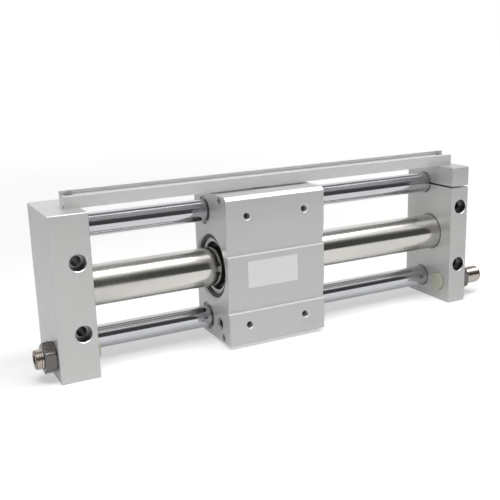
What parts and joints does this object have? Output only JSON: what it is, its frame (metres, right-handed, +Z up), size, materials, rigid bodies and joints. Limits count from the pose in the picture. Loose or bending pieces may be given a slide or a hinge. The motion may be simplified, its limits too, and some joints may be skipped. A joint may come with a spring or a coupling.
{
  "type": "guided rodless cylinder",
  "caption": "Rodless pneumatic cylinder: a slide block pulled magnetically along a tube, guided by shafts between end plates, with adjustable stroke stops and a switch rail on top.",
  "frame": {"origin": "on the resting plane, under the middle of the whole object's box with the carriage where the picture shows it", "axes": "+X along the stroke from the ported plate to the slit plate, -Y out of the mounting table, +Z up towards the switch rail"},
  "size_m": [0.368, 0.0576, 0.1202],
  "materials": {
    "anodised_plates": "clear anodised, fine satin",
    "anodised_block": "clear anodised, fine satin",
    "anodised_rail": "clear anodised extrusion",
    "hard_chrome": "polished hard chrome",
    "stainless_tube": "polished stainless",
    "nickel_plate": "bright nickel plated",
    "black_steel": "black oxide",
    "spring_steel": "phosphated spring steel",
    "magnet": "sintered magnet, plated",
    "yoke_steel": "turned soft iron",
    "bearing": "bronze backed dry bearing",
    "pale_resin": "moulded resin",
    "urethane": "cast urethane",
    "seal_rubber": "moulded nitrile",
    "piston_alloy": "turned"
  },
  "bodies": {
    "frame": {"plate_a": "anodised_plates", "plate_b": "anodised_plates", "cylinder_tube": "stainless_tube", "guide_shaft_lower": "hard_chrome", "guide_shaft_upper": "hard_chrome", "tube_seals": "seal_rubber", "shaft_seals": "seal_rubber", "tube_dampers": "urethane", "switch_rail": "anodised_rail", "rail_screws": "black_steel", "clamp_screw": "black_steel", "shaft_screws": "black_steel", "lock_nut_left": "nickel_plate", "lock_nut_right": "nickel_plate"},
    "carriage": {"slide_block": "anodised_block", "switch_magnet": "magnet", "lower_bushings": "bearing", "upper_bushings": "bearing", "strike_screws": "spring_steel", "slider_sleeve": "stainless_tube", "slider_wear_rings": "pale_resin", "outer_magnets": "magnet", "outer_yokes": "yoke_steel", "end_spacers": "pale_resin", "retaining_rings": "spring_steel"},
    "piston": {"inner_magnets": "magnet", "inner_yokes": "yoke_steel", "piston_rod": "nickel_plate", "pistons": "piston_alloy", "piston_seals": "seal_rubber", "piston_wear_bands": "pale_resin", "piston_nuts": "nickel_plate"},
    "left_stop": {"adjusting_bolt_left": "nickel_plate", "bumper_left": "urethane"},
    "right_stop": {"adjusting_bolt_right": "nickel_plate", "bumper_right": "urethane"}
  },
  "joints": [
    {"name": "carriage_travel", "type": "slide", "parent": "frame", "child": "carriage", "axis": [1, 0, 0], "range_m": [-0.0858, 0.1142]},
    {"name": "piston_travel", "type": "slide", "parent": "frame", "child": "piston", "axis": [1, 0, 0], "range_m": [-0.0858, 0.1142]},
    {"name": "left_stop_adjust", "type": "slide", "parent": "frame", "child": "left_stop", "axis": [1, 0, 0], "range_m": [-0.01, 0.003]},
    {"name": "right_stop_adjust", "type": "slide", "parent": "frame", "child": "right_stop", "axis": [-1, 0, 0], "range_m": [-0.01, 0.003]}
  ],
  "couplings": [
    {"joint": "piston_travel", "follows": "carriage_travel", "ratio": 1}
  ]
}
